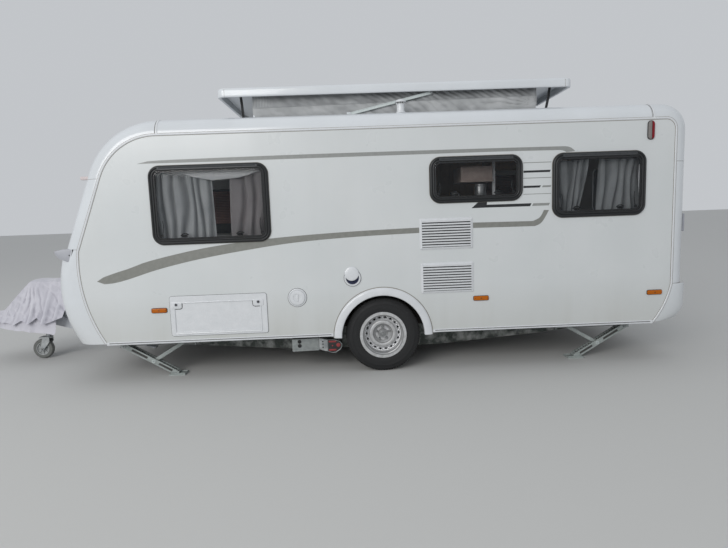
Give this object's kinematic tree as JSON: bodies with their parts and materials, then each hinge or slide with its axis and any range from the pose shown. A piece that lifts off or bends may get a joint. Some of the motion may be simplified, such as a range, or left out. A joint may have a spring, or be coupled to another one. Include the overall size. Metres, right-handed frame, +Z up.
{
  "type": "travel caravan with a pop-up roof",
  "caption": "Single-axle touring caravan with raised pop-up roof, entrance door, drawbar under a fabric cover, jockey wheel and corner steadies.",
  "frame": {"origin": "on the ground under the middle of the caravan's box", "axes": "drawbar and coupling to -X, tail to +X, entrance door on the +Y side, +Z up"},
  "size_m": [6.58, 2.244, 2.44],
  "materials": {
    "white_skin": "gloss",
    "white_plastic": "gloss",
    "galvanised": "matt galvanised",
    "lever_aluminium": "satin",
    "rim_silver": "satin",
    "tyre_black": "matt",
    "jockey_rubber": "matt",
    "black_rubber": "satin",
    "acrylic": "tinted gloss",
    "grey_fabric": "woven",
    "cover_fabric": "coated weave",
    "voile": "sheer",
    "amber": "clear moulded",
    "red_lens": "clear moulded",
    "grey_plastic": "satin",
    "mover_grey": "satin",
    "brake_black": "satin",
    "plywood": "matt",
    "furniture_board": "matt laminate"
  },
  "bodies": {
    "caravan": {"axle": "galvanised", "chassis_rails": "galvanised", "coupling": "galvanised", "cross_members": "galvanised", "curtains": "voile", "drawbar_cover": "cover_fabric", "drawbar_members": "galvanised", "filler_and_inlet": "white_plastic", "floor": "plywood", "flue": "galvanised", "fridge_vents": "white_skin", "front_bed": "furniture_board", "front_locker_panel": "white_skin", "front_panel": "white_skin", "furniture": "furniture_board", "grab_handles": "grey_plastic", "hatch_frame": "white_skin", "jockey_outer_tube": "galvanised", "locker_tub": "plywood", "lower_trims": "white_skin", "manoeuvring_drives": "mover_grey", "marker_lamps": "amber", "number_plate": "white_plastic", "rear_bumper": "white_skin", "rear_lamps": "red_lens", "rear_panel": "white_skin", "roof_bellows": "grey_fabric", "roof_front_moulding": "white_skin", "roof_panel": "white_skin", "roof_rear_moulding": "white_skin", "side_wall_left": "white_skin", "side_wall_right": "white_skin", "steady_brackets": "galvanised", "window_frames": "black_rubber", "window_panes": "acrylic"},
    "wheel_left": {"rim_left": "rim_silver", "tyre_left": "tyre_black"},
    "wheel_right": {"rim_right": "rim_silver", "tyre_right": "tyre_black"},
    "jockey_slide": {"jockey_inner_tube": "galvanised"},
    "jockey_swivel": {"jockey_fork": "galvanised"},
    "jockey_wheel": {"jockey_wheel": "jockey_rubber"},
    "handbrake": {"handbrake_lever": "brake_black"},
    "roof_lid": {"roof_lid": "white_skin", "rooflight": "acrylic"},
    "roof_levers": {"roof_lift_levers": "lever_aluminium"},
    "entrance_door": {"entrance_door": "white_skin", "door_window": "acrylic"},
    "hatch_door": {"hatch_door": "white_skin"},
    "locker_lid": {"locker_lid": "white_skin"},
    "steady_front_left": {"steady_leg_front_left": "galvanised"},
    "brace_front_left": {"steady_brace_front_left": "galvanised"},
    "steady_front_right": {"steady_leg_front_right": "galvanised"},
    "brace_front_right": {"steady_brace_front_right": "galvanised"},
    "steady_rear_left": {"steady_leg_rear_left": "galvanised"},
    "brace_rear_left": {"steady_brace_rear_left": "galvanised"},
    "steady_rear_right": {"steady_leg_rear_right": "galvanised"},
    "brace_rear_right": {"steady_brace_rear_right": "galvanised"}
  },
  "joints": [
    {"name": "wheel_left", "type": "hinge", "parent": "caravan", "child": "wheel_left", "pos_m": [0.7, -0.973, 0.312], "axis": [0, 1, 0], "continuous": true},
    {"name": "wheel_right", "type": "hinge", "parent": "caravan", "child": "wheel_right", "pos_m": [0.7, 0.973, 0.312], "axis": [0, 1, 0], "continuous": true},
    {"name": "jockey_height", "type": "slide", "parent": "caravan", "child": "jockey_slide", "axis": [0, 0, 1], "range_m": [0, 0.11]},
    {"name": "jockey_swivel", "type": "hinge", "parent": "jockey_slide", "child": "jockey_swivel", "pos_m": [-2.61, -0.15, 0.213], "axis": [0, 0, 1], "continuous": true},
    {"name": "jockey_roll", "type": "hinge", "parent": "jockey_swivel", "child": "jockey_wheel", "pos_m": [-2.67, -0.15, 0.1], "axis": [0, 1, 0], "continuous": true},
    {"name": "handbrake", "type": "hinge", "parent": "caravan", "child": "handbrake", "pos_m": [-2.56, 0.086, 0.476], "axis": [0, 1, 0], "range_deg": [-75, 0]},
    {"name": "steady_front_left", "type": "hinge", "parent": "caravan", "child": "steady_front_left", "pos_m": [-1.534, -0.895, 0.276], "axis": [0, -1, 0], "range_deg": [0, 25]},
    {"name": "brace_front_left", "type": "hinge", "parent": "steady_front_left", "child": "brace_front_left", "pos_m": [-1.28415, -0.895, 0.12877], "axis": [0, -1, 0], "range_deg": [-50, 0]},
    {"name": "steady_front_right", "type": "hinge", "parent": "caravan", "child": "steady_front_right", "pos_m": [-1.534, 0.895, 0.276], "axis": [0, -1, 0], "range_deg": [0, 25]},
    {"name": "brace_front_right", "type": "hinge", "parent": "steady_front_right", "child": "brace_front_right", "pos_m": [-1.28415, 0.895, 0.12877], "axis": [0, -1, 0], "range_deg": [-50, 0]},
    {"name": "steady_rear_left", "type": "hinge", "parent": "caravan", "child": "steady_rear_left", "pos_m": [2.84, -0.895, 0.276], "axis": [0, 1, 0], "range_deg": [0, 25]},
    {"name": "brace_rear_left", "type": "hinge", "parent": "steady_rear_left", "child": "brace_rear_left", "pos_m": [2.59015, -0.895, 0.12877], "axis": [0, 1, 0], "range_deg": [-50, 0]},
    {"name": "steady_rear_right", "type": "hinge", "parent": "caravan", "child": "steady_rear_right", "pos_m": [2.84, 0.895, 0.276], "axis": [0, 1, 0], "range_deg": [0, 25]},
    {"name": "brace_rear_right", "type": "hinge", "parent": "steady_rear_right", "child": "brace_rear_right", "pos_m": [2.59015, 0.895, 0.12877], "axis": [0, 1, 0], "range_deg": [-50, 0]},
    {"name": "roof_lift", "type": "slide", "parent": "caravan", "child": "roof_lid", "axis": [0, 0, 1], "range_m": [-0.175, 0], "deforming": ["roof_bellows"]},
    {"name": "roof_levers", "type": "hinge", "parent": "caravan", "child": "roof_levers", "pos_m": [0.481, 0, 2.163], "axis": [0, 1, 0], "range_deg": [0, 12.25]},
    {"name": "entrance_door", "type": "hinge", "parent": "caravan", "child": "entrance_door", "pos_m": [0.195, 1.114, 1.195], "axis": [0, 0, -1], "range_deg": [0, 160]},
    {"name": "hatch_door", "type": "hinge", "parent": "caravan", "child": "hatch_door", "pos_m": [-0.6565, -1.115, 0.404], "axis": [1, 0, 0], "range_deg": [0, 150]},
    {"name": "locker_lid", "type": "hinge", "parent": "caravan", "child": "locker_lid", "pos_m": [-1.938, 0, 1.086], "axis": [0, 1, 0], "range_deg": [0, 80]}
  ],
  "couplings": [
    {"joint": "brace_front_left", "follows": "steady_front_left", "ratio": -2},
    {"joint": "brace_front_right", "follows": "steady_front_right", "ratio": -2},
    {"joint": "brace_rear_left", "follows": "steady_rear_left", "ratio": -2},
    {"joint": "brace_rear_right", "follows": "steady_rear_right", "ratio": -2},
    {"joint": "roof_levers", "follows": "roof_lift", "rad_per_m": -1.217}
  ]
}
